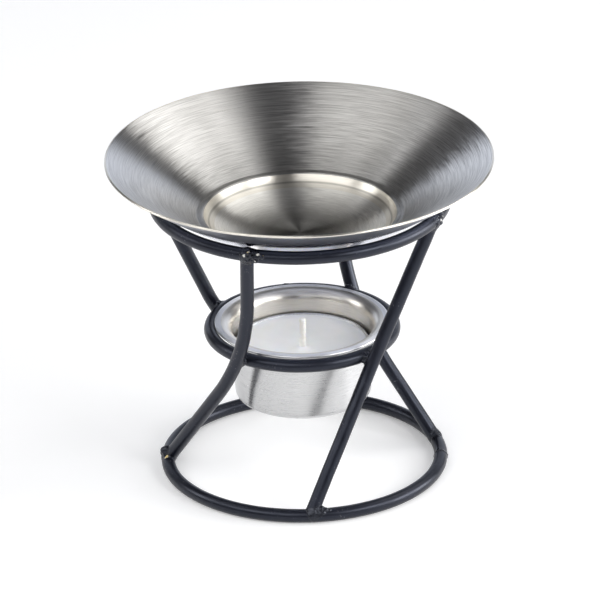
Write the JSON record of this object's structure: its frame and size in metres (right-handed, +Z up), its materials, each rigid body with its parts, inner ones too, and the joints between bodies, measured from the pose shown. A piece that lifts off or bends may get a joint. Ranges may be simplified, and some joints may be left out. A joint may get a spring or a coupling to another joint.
{
  "type": "essential oil burner",
  "caption": "Black wire oil burner with a conical brushed steel oil dish on top and a flanged steel cup that holds a tealight under it.",
  "frame": {"origin": "on the surface that the burner stands on, under the middle of the base ring", "axes": "+Z up along the axis of the dish, the cup and the three rings; -Y is the front"},
  "size_m": [0.114, 0.114, 0.0988],
  "materials": {
    "dish_steel": "spun and brushed round the axis, polished step at the floor",
    "stand_black": "satin black powder coat",
    "weld_black": "rough weld beads under black powder coat",
    "cup_steel": "brushed outside, smooth rolled lip",
    "tealight_aluminium": "bright thin drawn foil",
    "wax": "white paraffin wax, slightly translucent",
    "wick_cotton": "waxed braided cotton",
    "sustainer_tin": "tinned steel"
  },
  "bodies": {
    "stand": {"top_ring": "stand_black", "candle_ring": "stand_black", "base_ring": "stand_black", "leg_front_left": "stand_black", "leg_front_right": "stand_black", "leg_back_right": "stand_black", "leg_back_left": "stand_black", "top_ring_welds": "weld_black", "candle_ring_welds": "weld_black", "base_ring_welds": "weld_black", "ring_seam_welds": "weld_black"},
    "dish": {"oil_dish": "dish_steel"},
    "cup": {"candle_cup": "cup_steel"},
    "tealight": {"tealight_cup": "tealight_aluminium", "tealight_wax": "wax", "tealight_wick": "wick_cotton", "wick_sustainer": "sustainer_tin"}
  },
  "joints": [
    {"name": "dish_lift", "type": "slide", "parent": "stand", "child": "dish", "axis": [0, 0, 1], "range_m": [0, 0.08]},
    {"name": "cup_lift", "type": "slide", "parent": "stand", "child": "cup", "axis": [0, 0, 1], "range_m": [0, 0.002]},
    {"name": "tealight_lift", "type": "slide", "parent": "cup", "child": "tealight", "axis": [0, 0, 1], "range_m": [0, 0.0228]}
  ]
}
